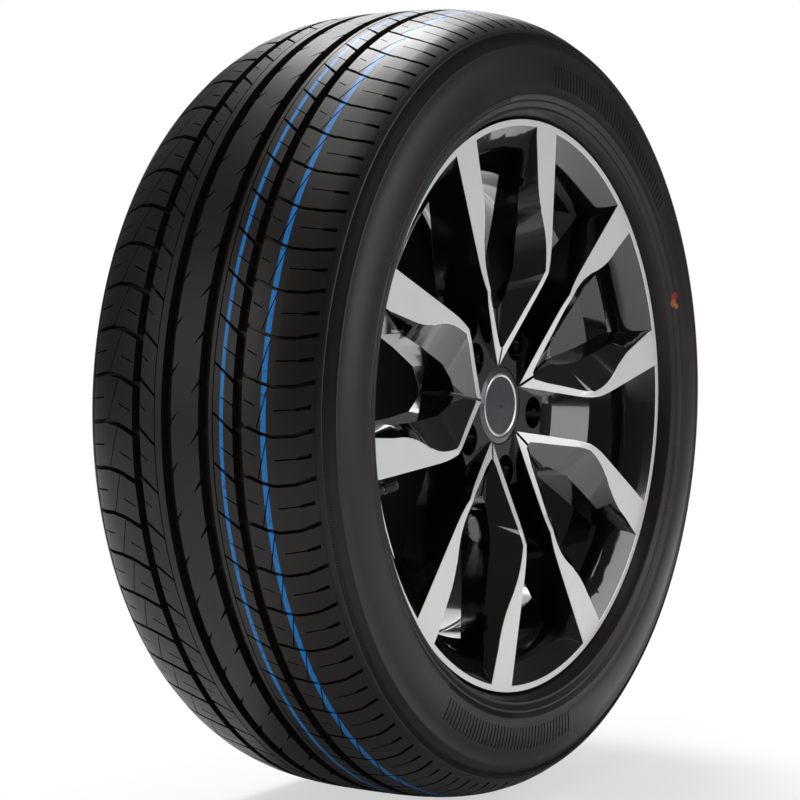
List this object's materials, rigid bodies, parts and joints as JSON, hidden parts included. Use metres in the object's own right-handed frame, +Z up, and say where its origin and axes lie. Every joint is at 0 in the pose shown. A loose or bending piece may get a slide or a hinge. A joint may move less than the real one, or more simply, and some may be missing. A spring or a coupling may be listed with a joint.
{
  "type": "car tyre on alloy wheel",
  "caption": "Unworn passenger car tyre mounted on a cast alloy wheel with twin spokes, black lacquer and machined faces, with centre cap and snap-in valve.",
  "frame": {"origin": "centre of the tyre and of the rim: on the wheel's axis, in the middle plane between the flanges", "axes": "Y along the wheel's axis, outer face towards -Y and mounting face towards +Y; Z up as the wheel stands in the picture, the first spoke pair 9 degrees left of up; X to the right seen from the outer face"},
  "size_m": [0.6569, 0.233, 0.657],
  "materials": {
    "tyre_rubber": "matt black rubber",
    "wheel_alloy": "gloss black lacquer with machined front faces",
    "cap_plastic": "satin grey",
    "cap_disc_metal": "satin",
    "spring_steel": "bright wire",
    "valve_rubber": "matt",
    "valve_brass": "turned",
    "gasket_rubber": "matt",
    "cap_black_plastic": "matt"
  },
  "bodies": {
    "wheel": {"tyre": "tyre_rubber", "wheel": "wheel_alloy", "centre_cap": "cap_plastic", "cap_disc": "cap_disc_metal", "cap_spring_ring": "spring_steel", "valve_body": "valve_rubber", "valve_stem": "valve_brass", "core_barrel": "valve_brass", "core_gasket": "gasket_rubber"},
    "core_pin": {"core_pin": "valve_brass", "pin_seal": "valve_rubber", "core_spring": "spring_steel"},
    "valve_cap": {"valve_cap": "cap_black_plastic", "cap_seal": "gasket_rubber"}
  },
  "joints": [
    {"name": "valve_pin_press", "type": "slide", "parent": "wheel", "child": "core_pin", "axis": [-0.8065, 0.5299, -0.2621], "range_m": [0, 0.0015], "stiffness_N_per_m": 1200, "springref_m": -0.002},
    {"name": "valve_cap_off", "type": "slide", "parent": "wheel", "child": "valve_cap", "axis": [0.8065, -0.5299, 0.2621], "range_m": [0, 0.02]}
  ]
}
